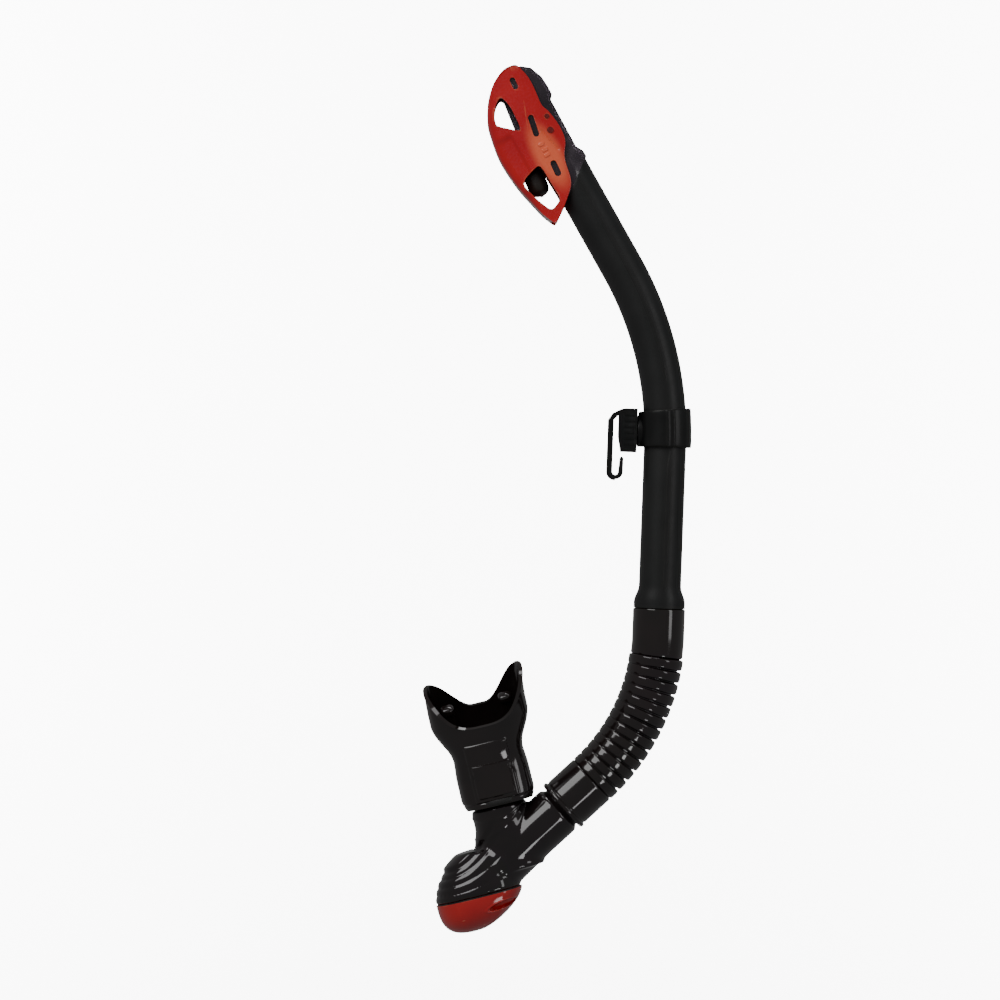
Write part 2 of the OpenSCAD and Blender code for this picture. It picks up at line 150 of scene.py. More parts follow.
soft_box("key_box", (-0.9, -1.1, 1.0), view_centre, 1.0, 1.0, 12)
soft_box("fill_box", (1.3, -1.0, 0.3), view_centre, 0.4, 0.9, 3)
soft_box("low_box", (0.9, -1.6, -0.9), view_centre, 0.4, 0.4, 3)
soft_box("top_box", (0.1, 0.2, 1.9), view_centre, 0.9, 0.7, 9)
wash = soft_box("wash", (-0.8, -2.2, 0.9), view_centre, 1.8, 1.8, 19)
wash.visible_glossy = False
back_wash = soft_box("back_wash", (0.8, 2.0, 1.2), view_centre, 1.8, 1.8, 12)
back_wash.visible_glossy = False
soft_box("paper_box_left", (-1.8, 0.9, 0.4), (-1.1, 2.6, 0.2), 1.0, 2.0, 560)
soft_box("paper_box_right", (1.8, 0.9, 0.4), (1.1, 2.6, 0.2), 1.0, 2.0, 560)


# ---------------------------------------------------------------------------------------------
# Barrel: one blow-moulded tube of satin black plastic. It is straight at the bottom, bends forward
# round the head and ends in a slanted cut, with a fine rib down each side.

def node_group(name, inputs, outputs):
    """An empty shader group with float or colour inputs and outputs, and its two end nodes."""
    group = bpy.data.node_groups.new(name, "ShaderNodeTree")
    for socket, kind, value in inputs:
        made = group.interface.new_socket(socket, in_out="INPUT", socket_type=kind)
        made.default_value = value
    for socket, kind in outputs:
        group.interface.new_socket(socket, in_out="OUTPUT", socket_type=kind)
    return group, group.nodes.new("NodeGroupInput"), group.nodes.new("NodeGroupOutput")


def fade_between(group, source, low, high):
    """A node that takes a value to 0 at low and to 1 at high."""
    fade = group.nodes.new("ShaderNodeMapRange")
    fade.inputs["From Min"].default_value = low
    fade.inputs["From Max"].default_value = high
    group.links.new(source, fade.inputs["Value"])
    return fade


def sum_node(group, operation, *sources):
    """A math node whose inputs are sockets to link or plain numbers."""
    node = group.nodes.new("ShaderNodeMath")
    node.operation = operation
    for slot, source in zip(node.inputs, sources):
        if isinstance(source, (int, float)):
            slot.default_value = source
        else:
            group.links.new(source, slot)
    return node.outputs[0]


def moulded_skin():
    """The skin of a moulding: a cloudy colour, a fine grain and an uneven gloss.

    Cloud is a soft noise that mixes two colours. Grain is a fine noise, used as a height. Gloss is
    the base roughness plus a share of a stretched noise, like the marks that hands leave.
    """
    group, into, out = node_group(
        "moulded_skin",
        [
            ("Vector", "NodeSocketVector", (0, 0, 0)),
            ("Colour", "NodeSocketColor", (0.1, 0.1, 0.1, 1)),
            ("Cloud Colour", "NodeSocketColor", (0.2, 0.2, 0.2, 1)),
            ("Cloud Scale", "NodeSocketFloat", 60.0),
            ("Grain Scale", "NodeSocketFloat", 2500.0),
            ("Roughness", "NodeSocketFloat", 0.3),
            ("Unevenness", "NodeSocketFloat", 0.1),
        ],
        [("Colour", "NodeSocketColor"), ("Roughness", "NodeSocketFloat"), ("Height", "NodeSocketFloat")],
    )
    add = group.nodes.new
    link = group.links.new
    cloud = add("ShaderNodeTexNoise")
    cloud.inputs["Detail"].default_value = 4
    link(into.outputs["Vector"], cloud.inputs["Vector"])
    link(into.outputs["Cloud Scale"], cloud.inputs["Scale"])
    spread = fade_between(group, cloud.outputs["Fac"], 0.35, 0.65)
    tint = add("ShaderNodeMix")
    tint.data_type = "RGBA"
    link(spread.outputs["Result"], tint.inputs["Factor"])
    link(into.outputs["Colour"], tint.inputs["A"])
    link(into.outputs["Cloud Colour"], tint.inputs["B"])
    link(tint.outputs["Result"], out.inputs["Colour"])
    grain = add("ShaderNodeTexNoise")
    grain.inputs["Detail"].default_value = 3
    link(into.outputs["Vector"], grain.inputs["Vector"])
    link(into.outputs["Grain Scale"], grain.inputs["Scale"])
    link(grain.outputs["Fac"], out.inputs["Height"])
    marks = add("ShaderNodeTexNoise")
    marks.inputs["Detail"].default_value = 6
    marks.inputs["Distortion"].default_value = 1.5
    marks.inputs["Scale"].default_value = 90
    link(into.outputs["Vector"], marks.inputs["Vector"])
    centred = sum_node(group, "SUBTRACT", marks.outputs["Fac"], 0.5)
    uneven = sum_node(group, "MULTIPLY_ADD", centred, into.outputs["Unevenness"], into.outputs["Roughness"])
    link(uneven, out.inputs["Roughness"])
    return group


def edge_wear_and_sheen():
    """Rubbing and a painted edge highlight: where the surface is sharply convex and a noise is high, the mask
    nears 1.
    """
    group, into, out = node_group(
        "edge_wear_and_sheen",
        [("Vector", "NodeSocketVector", (0, 0, 0)), ("Amount", "NodeSocketFloat", 0.5)],
        [("Mask", "NodeSocketFloat")],
    )
    add = group.nodes.new
    link = group.links.new
    geometry = add("ShaderNodeNewGeometry")
    sharp = fade_between(group, geometry.outputs["Pointiness"], 0.53, 0.62)
    patch = add("ShaderNodeTexNoise")
    patch.inputs["Scale"].default_value = 220
    patch.inputs["Detail"].default_value = 5
    link(into.outputs["Vector"], patch.inputs["Vector"])
    broken = fade_between(group, patch.outputs["Fac"], 0.42, 0.62)
    both = sum_node(group, "MULTIPLY", sharp.outputs["Result"], broken.outputs["Result"])
    scaled = sum_node(group, "MULTIPLY", both, into.outputs["Amount"])
    link(scaled, out.inputs["Mask"])
    return group


skin_group = moulded_skin()
wear_and_sheen_group = edge_wear_and_sheen()


def finish_material(name, colour, cloud, worn_and_sheen_colour, rough, uneven, grain_depth, wear_and_sheen=0.4,
                    cloud_scale=60.0, grain_scale=2500.0, **plain):
    """A material with the moulded skin and lighter sharp edges, partly rubbing and partly a painted
    highlight; plain holds values for the shader's own sockets.
    """
    material = bpy.data.materials.new(name)
    material.use_nodes = True
    add = material.node_tree.nodes.new
    link = material.node_tree.links.new
    shader = material.node_tree.nodes["Principled BSDF"]
    place = add("ShaderNodeTexCoord")
    skin = add("ShaderNodeGroup")
    skin.node_tree = skin_group
    skin.inputs["Colour"].default_value = (*colour, 1)
    skin.inputs["Cloud Colour"].default_value = (*cloud, 1)
    skin.inputs["Cloud Scale"].default_value = cloud_scale
    skin.inputs["Grain Scale"].default_value = grain_scale
    skin.inputs["Roughness"].default_value = rough
    skin.inputs["Unevenness"].default_value = uneven
    link(place.outputs["Object"], skin.inputs["Vector"])
    rubbed_and_sheen = add("ShaderNodeGroup")
    rubbed_and_sheen.node_tree = wear_and_sheen_group
    rubbed_and_sheen.inputs["Amount"].default_value = wear_and_sheen
    link(place.outputs["Object"], rubbed_and_sheen.inputs["Vector"])
    # sharp edges take the lighter edge colour: partly rubbing, partly a painted highlight along the edges
    mixed = add("ShaderNodeMix")
    mixed.data_type = "RGBA"
    mixed.inputs["B"].default_value = (*worn_and_sheen_colour, 1)
    link(rubbed_and_sheen.outputs["Mask"], mixed.inputs["Factor"])
    link(skin.outputs["Colour"], mixed.inputs["A"])
    link(mixed.outputs["Result"], shader.inputs["Base Color"])
    link(skin.outputs["Roughness"], shader.inputs["Roughness"])
    bump = add("ShaderNodeBump")
    bump.inputs["Strength"].default_value = 1.0
    bump.inputs["Distance"].default_value = grain_depth
    link(skin.outputs["Height"], bump.inputs["Height"])
    link(bump.outputs["Normal"], shader.inputs["Normal"])
    for socket, value in plain.items():
        shader.inputs[socket.replace("_", " ")].default_value = value
    return material


def sheet_mesh(name, points, wrap_rows=False, wrap_columns=False, smooth_angle=40):
    """A mesh from a grid of points (rows, columns, 3), in millimetres.

    Rows and columns join up with their first where they wrap. Faces turn so that the volume that
    they enclose is positive, and edges sharper than the angle stay sharp.
    """
    rows, columns = points.shape[:2]
    index = np.arange(rows * columns).reshape(rows, columns)
    if wrap_rows:
        index = np.vstack((index, index[:1]))
    if wrap_columns:
        index = np.hstack((index, index[:, :1]))
    corners = (index[:-1, :-1], index[1:, :-1], index[1:, 1:], index[:-1, 1:])
    faces = np.stack(corners, axis=-1).reshape(-1, 4)
    flat = points.reshape(-1, 3)
    first, second, third, fourth = (flat[faces[:, i]] for i in range(4))
    volume = np.sum(first * np.cross(second, third)) + np.sum(first * np.cross(third, fourth))
    if volume < 0:
        faces = faces[:, ::-1]
    return finished_mesh(name, flat, faces.tolist(), smooth_angle)


def finished_mesh(name, points, faces, smooth_angle=40):
    """A linked object from points in millimetres and faces, with doubles merged and smooth shading."""
    mesh = bpy.data.meshes.new(name)
    mesh.from_pydata((np.asarray(points) * MM).tolist(), [], faces)
    work = bmesh.new()
    work.from_mesh(mesh)
    bmesh.ops.remove_doubles(work, verts=work.verts, dist=1e-6)
    bmesh.ops.dissolve_degenerate(work, edges=work.edges, dist=1e-7)
    work.to_mesh(mesh)
    work.free()
    mesh.shade_smooth()
    mesh.set_sharp_from_angle(angle=math.radians(smooth_angle))
    made = bpy.data.objects.new(name, mesh)
    bpy.context.scene.collection.objects.link(made)
    return made


def smooth_step(low, high, x):
    """0 below low, 1 above high, and a smooth cubic between."""
    t = np.clip((x - low) / (high - low), 0, 1)
    return t * t * (3 - 2 * t)


# the bend's centre is the keeper slide's axis, and the axis of the hose swivel gives the straight part
bend_x, bend_z = (1000 * joints["keeper_slide"]["pos_m"][i] for i in (0, 2))
barrel_x = 1000 * joints["hose_swivel"]["pos_m"][0]
bend_radius = barrel_x - bend_x
lean = math.radians(31.4)
head_x = bend_x + bend_radius * math.cos(lean)
head_z = bend_z + bend_radius * math.sin(lean)
barrel_half_w, barrel_half_d, barrel_wall = 10.8, 12.5, 1.8
joint_height, joint_slope = 48.5, math.tan(math.radians(36.5))


def oval_section(around, half_w, half_d):
    """Points of two half circles of radius half_w with flats between, at angles round the middle."""
    flat = half_d - half_w
    x = half_w * np.cos(around)
    y = half_w * np.sin(around) + flat * np.clip(3 * np.sin(around), -1, 1)
    return x, y


def along_barrel(x, y, along):
    """Carries section points (x, y) to a length along the barrel's axis, from the bend's start.

    Below the start the axis is straight down, then it follows the bend's arc, and beyond the arc
    it runs straight up the leaning head.
    """
    turn = np.clip(along / bend_radius, 0, lean)
    beyond = np.minimum(along, 0) + np.maximum(along - bend_radius * lean, 0)
    reach = bend_radius + x
    px = bend_x + reach * np.cos(turn) - beyond * np.sin(turn)
    pz = bend_z + reach * np.sin(turn) + beyond * np.cos(turn)
    return np.stack(np.broadcast_arrays(px, y, pz), axis=-1)


def barrel_surface():
    """Rows go up the outside, over the slanted end, down the bore and round the spigot; columns go round.

    The rib on each side is a flat-topped bump, 1.8 mm wide with 0.3 mm shoulders, that fades out in
    a point above the keeper and starts again below it. The bottom swells to a round bell.
    """
    rib_offset = 2.0 / barrel_half_w
    close = np.linspace(-1.8, 1.8, 25) / barrel_half_w
    first, second = np.pi / 2 - rib_offset, 3 * np.pi / 2 + rib_offset
    around = np.concatenate((first + close, np.linspace(first + 0.26, second - 0.26, 34),
                             second + close, np.linspace(second + 0.26, first + 2 * np.pi - 0.26, 30)))
    arc = bend_radius * lean
    bottom, spigot_end, bore_r = -83.3, -97.6, 9.3
    outside = np.concatenate((np.linspace(bottom, 0, 90), np.linspace(1, arc, 95)))
    x, y = oval_section(around, barrel_half_w, barrel_half_d)
    beside = np.abs(np.abs(np.arctan2(y, x)) - (np.pi / 2 - rib_offset * 0.9)) * barrel_half_w
    height = outside[:, None]
    upper_rib = smooth_step(30, 42, height)
    lower_rib = smooth_step(0, -14, height) * smooth_step(-74, -72, height)
    half_rib = 0.95 * (upper_rib + lower_rib)
    rib = 0.32 * smooth_step(0, 0.3, half_rib - beside)
    bell = smooth_step(-72, -80.5, height)
    length = np.hypot(x, y)
    swell = 1 + rib / length + bell * (13.1 / length - 1)
    rows = along_barrel(x * swell, y * swell, height)
    # the leaning stretch ends in the slanted plane, so its rows are shares of each column's length
    share = np.linspace(0.01, 1, 60)[:, None]
    rib_top = 0.3 * smooth_step(0, 0.5, 0.95 - beside) / length * (1 - 0.55 * share)
    top = share * (joint_height + x * joint_slope)
    lean_rows = along_barrel(x * (1 + rib_top), y * (1 + rib_top), arc + top)
    inner = 1 - barrel_wall / barrel_half_w
    inner_top = share[::-1] * (joint_height + x * inner * joint_slope)
    inner_lean = along_barrel(x * inner, y * inner, arc + inner_top)
    bore_blend = smooth_step(-70, -76, np.linspace(arc, spigot_end, 80)[:, None])
    bore = inner + bore_blend * (bore_r / length - inner)
    inner_rows = along_barrel(x * bore, y * bore, np.linspace(arc, spigot_end, 80)[:, None])
    spigot = 11.2 / length
    end_rows = along_barrel(x * spigot, y * spigot, np.array([spigot_end, bottom])[:, None])
    return np.concatenate((rows, lean_rows, inner_lean, inner_rows, end_rows))


barrel = sheet_mesh("barrel", barrel_surface(), wrap_rows=True, wrap_columns=True)
satin_black = finish_material(
    "satin_black", (0.011, 0.011, 0.011), (0.0145, 0.0145, 0.0145), (0.05, 0.05, 0.05),
    rough=0.42, uneven=0.16, grain_depth=0.00003, Specular_IOR_Level=0.35,
)
barrel.data.materials.append(satin_black)
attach(barrel, "barrel")
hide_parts("barrel_tube")


# ---------------------------------------------------------------------------------------------
# Cover: a hollow cage of glossy red plastic that clips over the float. Its bow is rounded, each
# cheek has two windows and three slots, and the wall between the windows is set back.

cover_half = 14.5


def in_head(x, y, z):
    """Points of the leaning head's own frame, x to the back and z up the barrel."""
    px = head_x + x * math.cos(lean) - z * math.sin(lean)
    pz = head_z + x * math.sin(lean) + z * math.cos(lean)
    return np.stack(np.broadcast_arrays(px, y, pz), axis=-1)


def eased(corners, passes=3):
    """A closed outline with its corners cut: each pass puts points a fifth in from every side's ends."""
    line = np.array(corners, float)
    for _ in range(passes):
        after = np.roll(line, -1, axis=0)
        line = np.stack((0.8 * line + 0.2 * after, 0.2 * line + 0.8 * after), axis=1).reshape(-1, 2)
    return line


def evenly(line, count):
    """The same closed outline with a count of points an even distance apart."""
    closed = np.vstack((line, line[:1]))
    run = np.concatenate(([0], np.cumsum(np.hypot(*np.diff(closed, axis=0).T))))
    at = np.linspace(0, run[-1], count, endpoint=False)
    return np.stack((np.interp(at, run, closed[:, 0]), np.interp(at, run, closed[:, 1])), axis=-1)


def inset(line, amount):
    """The outline moved inwards by an amount, along the mean normal of the sides at each point."""
    ahead = np.roll(line, -1, axis=0) - np.roll(line, 1, axis=0)
    area = np.sum(line[:, 0] * np.roll(line[:, 1], -1) - line[:, 1] * np.roll(line[:, 0], -1))
    normal = np.stack((-ahead[:, 1], ahead[:, 0]), axis=-1) * np.sign(area)
    normal /= np.linalg.norm(normal, axis=1)[:, None]
    return line + normal * np.asarray(amount).reshape(-1, 1)


def slab(name, place, line, half, corner, relief=None, shifts=0.0):
    """A rounded plate: rings shrink to the middle of each face, and the rim turns in a quarter circle.

    Relief takes the outline's own coordinates and gives how far the face sinks there. Place carries
    the plate's points to the object, and shifts moves the plate along its thickness.
    """
    middle = line.mean(axis=0)
    edge = inset(line, corner)
    shares = np.concatenate((np.linspace(0.03, 0.9, 34), [0.96, 1.0]))[:, None, None]
    face = middle + (edge - middle) * shares
    sink = relief(face[..., 0], face[..., 1]) if relief else np.zeros(face.shape[:2])
    curve = np.linspace(0, np.pi / 2, 9)[1:, None]
    corner = np.asarray(corner, float) * np.ones(len(line))
    rim = np.stack([inset(line, corner * (1 - np.sin(a))) for a in curve[:, 0]])
    rim_sink = corner * (1 - np.cos(curve)) + sink[-1] * np.cos(curve)
    outline = np.concatenate((face, rim))
    height = half - np.concatenate((sink, rim_sink))
    sheet = np.concatenate((outline, outline[::-1]))
    across = np.concatenate((-height, height[::-1])) + shifts
    rows = closed_rows(place(sheet[..., 0], across, sheet[..., 1]))
    return sheet_mesh(name, rows, wrap_columns=True)


def closed_rows(rows):
    """The rows of points with a pole added before the first and after the last."""
    first = np.broadcast_to(rows[0].mean(axis=0), rows[0].shape)
    last = np.broadcast_to(rows[-1].mean(axis=0), rows[-1].shape)
    return np.concatenate((first[None], rows, last[None]))


def keep_modifiers(piece):
    """Applies a piece's modifiers to its mesh."""
    graph = bpy.context.evaluated_depsgraph_get()
    mesh = bpy.data.meshes.new_from_object(piece.evaluated_get(graph))
    piece.modifiers.clear()
    piece.data = mesh
    return piece


def cut_out(piece, tools):
    """Cuts the tools out of a piece and deletes them."""
    for tool in tools:
        cut = piece.modifiers.new("cut", "BOOLEAN")
        cut.operation = "DIFFERENCE"
        cut.object = tool
    keep_modifiers(piece)
    for tool in tools:
        bpy.data.objects.remove(tool)


def soft_edges(piece, width, angle=40):
    """Rounds the sharp edges of a piece by a width in millimetres."""
    bevel = piece.modifiers.new("soft_edges", "BEVEL")
    bevel.width = width * MM
    bevel.segments = 2
    bevel.limit_method = "ANGLE"
    bevel.angle_limit = math.radians(angle)
    bevel.harden_normals = True
    return bevel


def cheek_relief(x, z):
    """The cheek's relief: a crown, the wall set back between the windows, and a slanted groove."""
    crown = 0.6 * (np.abs(x + 10) / 16) ** 2.4 + 0.5 * (np.abs(z - 78) / 40) ** 3
    boundary = -16.2
    set_back = 1.0 * smooth_step(0, 2.2, boundary - x) * smooth_step(58, 63, z) * (1 - smooth_step(83, 87, z))
    along = np.clip((80.5 - z) / 14, 0, 1)
    ends = smooth_step(66, 68, z) * (1 - smooth_step(79, 81, z))
    groove = 0.7 * np.exp(-((x + 2.6 - 3.2 * along) / 0.55) ** 2) * ends
    return crown + set_back + groove


cover_edge = [(2.1, 116), (-4, 116.7), (-12, 112.9), (-18.5, 106.7), (-22.9, 99.9), (-25.4, 94.2),
              (-28.4, 77.5), (-27, 59.7), (-22.6, 42.3), (-19.4, 35.4), (-19.0, 35.2)]
cover_back = [(-9.9, 41.6), (-1.4, 49.2), (0.8, 62.5), (6.1, 69.4), (7, 77.4), (5.6, 87.5),
              (3.8, 90.6), (5, 100), (5.2, 107), (3.3, 114.9)]
cover_line = evenly(eased(cover_edge + cover_back), 300)
for _ in range(4):
    cover_line = (np.roll(cover_line, 1, axis=0) + 2 * cover_line + np.roll(cover_line, -1, axis=0)) / 4
bow = smooth_step(4, 9, -(cover_line[:, 0] - np.interp(cover_line[:, 1], (35, 116), (-17, -3))))
bow *= smooth_step(40, 54, cover_line[:, 1]) * (1 - smooth_step(104, 114, cover_line[:, 1]))
blunt = smooth_step(34, 47, cover_line[:, 1]) * (1 - smooth_step(106, 115.5, cover_line[:, 1]))
cover = slab("cover_cage", in_head, cover_line, cover_half, 0.06 + 0.64 * blunt + 4.2 * bow, cheek_relief)
hollow = [(20, 113.6), (-3.6, 114.6), (-11, 111.2), (-17, 105.4), (-21.2, 99), (-23.5, 93.6),
          (-26.4, 77.5), (-25.1, 60.1), (-20.8, 43), (-19.6, 30), (20, 30)]
upper_window = [(-11.9, 105.3), (-16.4, 102.6), (-19.7, 98), (-21, 93.8), (-20.4, 92.4), (-12.2, 85.1),
                (-11.3, 86), (-10.7, 88.3), (-10.1, 98.4)]
lower_window = [(-12.9, 65.5), (-24.4, 61.8), (-21.6, 51.1), (-18.4, 43.2), (-16.3, 42.3),
                (-10.7, 45), (-10.9, 50), (-11.3, 63.8)]
slots = [
    ((-3.9, 88.2), (-5.5, 79.8), 1.5),
    ((-5.2, 62.4), (-5.6, 57), 1.6),
    ((-2.7, 109.4), (-3, 105.8), 1.4),
]


def slot_line(start, end, radius):
    """An outline with half circles round two points and straight sides between them."""
    (x0, z0), (x1, z1) = start, end
    heading = math.atan2(z1 - z0, x1 - x0)
    half = np.linspace(-np.pi / 2, np.pi / 2, 14)
    far_end = np.stack((x1 + radius * np.cos(heading + half), z1 + radius * np.sin(heading + half)), axis=-1)
    near_end = np.stack((x0 - radius * np.cos(heading + half), z0 - radius * np.sin(heading + half)), axis=-1)
    return np.vstack((far_end, near_end))


tools = [slab("hollow_tool", in_head, evenly(eased(hollow), 200), cover_half - 2.3, 2.4 * np.ones(200))]
for number, window in enumerate((upper_window, lower_window)):
    tools.append(slab(f"window_tool_{number}", in_head, evenly(eased(window), 121), 20.0, 0.4))
for number, (start, end, radius) in enumerate(slots):
    tools.append(slab(f"slot_tool_{number}", in_head, slot_line(start, end, radius), 30.0, 0.1))
for number, (x, z, radius) in enumerate(((3.6, 85, 1.25), (1.7, 78, 1.65))):
    tools.append(slab(f"pin_tool_{number}", in_head, slot_line((x, z), (x, z + 0.01), radius), 30.0, 0.05))
cut_out(cover, tools)
soft_edges(cover, 0.28, 45)
keep_modifiers(cover)
cover.data.shade_smooth()
cover.data.set_sharp_from_angle(angle=math.radians(35))
# the cage's orange edge colour is a painted rim highlight on its sharp edges, as well as rubbing
cage_red = finish_material(
    "cage_red", (0.44, 0.004, 0.010), (0.53, 0.009, 0.012), (0.75, 0.18, 0.07),
    rough=0.17, uneven=0.07, grain_depth=0.0000012, wear_and_sheen=0.35, cloud_scale=45,
    Coat_Weight=0.5, Coat_Roughness=0.06, Specular_IOR_Level=0.5,
)


def painted_glow_patch():
    """A painted glow: a soft orange oval on the cheek, standing in for light that comes through the plastic
    from the float's chamber.
    """
    group, into, out = node_group(
        "painted_glow_patch", [("Vector", "NodeSocketVector", (0, 0, 0))], [("Mask", "NodeSocketFloat")],
    )
    add = group.nodes.new
    link = group.links.new
    from_middle = add("ShaderNodeVectorMath")
    from_middle.operation = "SUBTRACT"
    from_middle.inputs[1].default_value = in_head(-5.5, 0, 67) * MM
    link(into.outputs["Vector"], from_middle.inputs[0])
    upright = add("ShaderNodeVectorRotate")
    upright.rotation_type = "Y_AXIS"
    upright.inputs["Angle"].default_value = lean
    link(from_middle.outputs["Vector"], upright.inputs["Vector"])
    scaled = add("ShaderNodeVectorMath")
    scaled.operation = "MULTIPLY"
    scaled.inputs[1].default_value = (1 / 0.0085, 0, 1 / 0.021)
    link(upright.outputs["Vector"], scaled.inputs[0])
    away = add("ShaderNodeVectorMath")
    away.operation = "LENGTH"
    link(scaled.outputs["Vector"], away.inputs[0])
    fade = fade_between(group, away.outputs["Value"], 0.45, 1.1)
    fade.interpolation_type = "SMOOTHSTEP"
    fade.inputs["To Min"].default_value = 0.85
    fade.inputs["To Max"].default_value = 0.0
    link(fade.outputs["Result"], out.inputs["Mask"])
    return group


# painted glow: an orange oval mixed into the cage's colour, standing in for light shining through the plastic
cage_tree = cage_red.node_tree
patch = cage_tree.nodes.new("ShaderNodeGroup")
patch.node_tree = painted_glow_patch()
cage_place = cage_tree.nodes.new("ShaderNodeTexCoord")
cage_tree.links.new(cage_place.outputs["Object"], patch.inputs["Vector"])
glow_painted = cage_tree.nodes.new("ShaderNodeMix")
glow_painted.data_type = "RGBA"
glow_painted.inputs["B"].default_value = (0.88, 0.15, 0.06, 1)
cage_shader = cage_tree.nodes["Principled BSDF"]
cage_tree.links.new(cage_shader.inputs["Base Color"].links[0].from_socket, glow_painted.inputs["A"])
cage_tree.links.new(patch.outputs["Mask"], glow_painted.inputs["Factor"])
cage_tree.links.new(glow_painted.outputs["Result"], cage_shader.inputs["Base Color"])
cover.data.materials.clear()
cover.data.materials.append(cage_red)
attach(cover, "barrel")
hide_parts("top_cover")

# three small grips stand on each cheek
for side in (-1, 1):
    for number, (x, z) in enumerate(((-5.9, 73.9), (-5.7, 70.6), (-6.0, 67.8))):
        corners = [(x - 1.7, z - 1.1), (x + 1.7, z - 1.1), (x + 1.7, z + 1.1), (x - 1.7, z + 1.1)]
        grip_line = evenly(eased(corners), 40)
        grip = slab(f"grip_{'left' if side < 0 else 'right'}_{number}", in_head, grip_line, 0.75, 0.45,
                    shifts=side * (cover_half - 0.3))
        grip.data.materials.append(cage_red)
        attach(grip, "barrel")


# ---------------------------------------------------------------------------------------------
# Head shell and what it holds: a smoky translucent housing with the intake's seat inside, the
# pendulum arm on its steel pin, the rubber seal pad and the black foam float.

def dress(name, material, round_by=0.0, angle=35):
    """Gives a CAD node its material, and rounds its edges where a width is given."""
    piece = nodes[name]
    piece.data.materials.clear()
    piece.data.materials.append(material)
    if round_by:
        weld = piece.modifiers.new("weld", "WELD")
        weld.merge_threshold = 0.000004
        soft_edges(piece, round_by, angle)


smoke = finish_material(
    "smoke", (0.020, 0.014, 0.020), (0.045, 0.034, 0.046), (0.14, 0.12, 0.14),
    rough=0.2, uneven=0.08, grain_depth=0.000006, cloud_scale=28,
    Transmission_Weight=0.25, Coat_Weight=0.3, Specular_IOR_Level=0.5,
)
soft_rubber = finish_material(
    "soft_rubber", (0.009, 0.009, 0.009), (0.014, 0.013, 0.013), (0.04, 0.04, 0.04),
    rough=0.5, uneven=0.15, grain_depth=0.00003,
)
foam_black = finish_material(
    "foam_black", (0.012, 0.009, 0.008), (0.020, 0.015, 0.012), (0.05, 0.04, 0.035),
    rough=0.42, uneven=0.2, grain_depth=0.00008, grain_scale=1400.0,
)
brushed_steel = finish_material(
    "brushed_steel", (0.42, 0.43, 0.45), (0.5, 0.51, 0.53), (0.7, 0.7, 0.72),
    rough=0.3, uneven=0.2, grain_depth=0.00001, Metallic=1.0,
)
pin_red = finish_material(
    "pin_red", (0.10, 0.006, 0.006), (0.16, 0.010, 0.009), (0.4, 0.08, 0.06),
    rough=0.3, uneven=0.1, grain_depth=0.00001,
)
dress("head_shell", smoke, 0.9)
for side in (-1, 1):
    liner_line = evenly(eased([(-7.9, 53.5), (-0.8, 53.5), (-1.3, 90.5), (-6.6, 90.5)]), 80)
    liner = slab(f"cover_liner_{'left' if side < 0 else 'right'}", in_head, liner_line, 0.4, 0.3,
                 shifts=side * 11.9)
    liner.data.materials.append(smoke)
    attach(liner, "barrel")
dress("intake_seat", smoke, 0.2)
dress("float_arm", smoke, 0.3)
dress("head_gasket", soft_rubber)
dress("seal_pad", soft_rubber, 0.25)
dress("float_pin", brushed_steel, 0.2)
dress("cover_pins", pin_red, 0.3)

swing = joints["float_swing"]
arm_pin = 1000 * Vector(swing["pos_m"])
arm_turn = lean + math.radians(-8)


def in_arm(x, y, z):
    """Points of the float arm's frame: its pin at the origin, the arm hanging down."""
    px = arm_pin.x + x * math.cos(arm_turn) - z * math.sin(arm_turn)
    pz = arm_pin.z + x * math.sin(arm_turn) + z * math.cos(arm_turn)
    return np.stack(np.broadcast_arrays(px, y, pz), axis=-1)


def float_surface():
    """A blunt drop: superellipse sections whose size follows a rounded arch from top to bottom."""
    around = np.linspace(0, 2 * np.pi, 72, endpoint=False)
    down = np.linspace(0, 1, 48)[:, None]
    end_share = np.where(down < 0.47, 0.75, 0.92)
    size = np.clip(1 - np.abs(2 * down - 0.94) ** 3.6 * end_share, 0.02, 1) ** (1 / 2.2)
    power = 2 / 2.6
    x = -1.5 + 0.6 * down + 5.3 * size * np.sign(np.cos(around)) * np.abs(np.cos(around)) ** power
    y = 8.4 * size * np.sign(np.sin(around)) * np.abs(np.sin(around)) ** power
    return closed_rows(in_arm(x, y, -42.2 - 15.0 * down))


bulb = sheet_mesh("float_block", float_surface(), wrap_columns=True)
bulb.data.materials.append(foam_black)
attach(bulb, "float")
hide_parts("float_bulb")


# ---------------------------------------------------------------------------------------------
# Keeper: a band of tough black plastic that slides along the barrel's bend, and a hook that turns
# on its rivet and hangs on the mask strap.

band_middle, band_arc = math.radians(2.74), 18.9 / bend_radius


def band_surface():
    """A rounded-oblong profile, 2.3 mm thick and 18.9 mm tall, carried round the barrel's oval."""
    around = np.linspace(0, 2 * np.pi, 200, endpoint=False)
    turn = np.linspace(0, 2 * np.pi, 72, endpoint=False)[:, None]
    power = 2 / 9
    high = 0.5 * bend_radius * band_arc * np.sign(np.sin(turn)) * np.abs(np.sin(turn)) ** power
    thick = 1.12 * np.sign(np.cos(turn)) * np.abs(np.cos(turn)) ** power
    x, y = oval_section(around, barrel_half_w, barrel_half_d)
    length = np.hypot(x, y)
    beside = np.abs(np.abs(np.arctan2(y, x)) - (np.pi / 2 - 0.17)) * barrel_half_w
    rib = 0.35 * (smooth_step(1.7, 1.3, beside) - smooth_step(0.8, 0.4, beside)) * (thick > 0)
    swell = 1 + (0.34 + 1.12 + thick + rib) / length
    return along_barrel(x * swell, y * swell, bend_radius * band_middle + high)


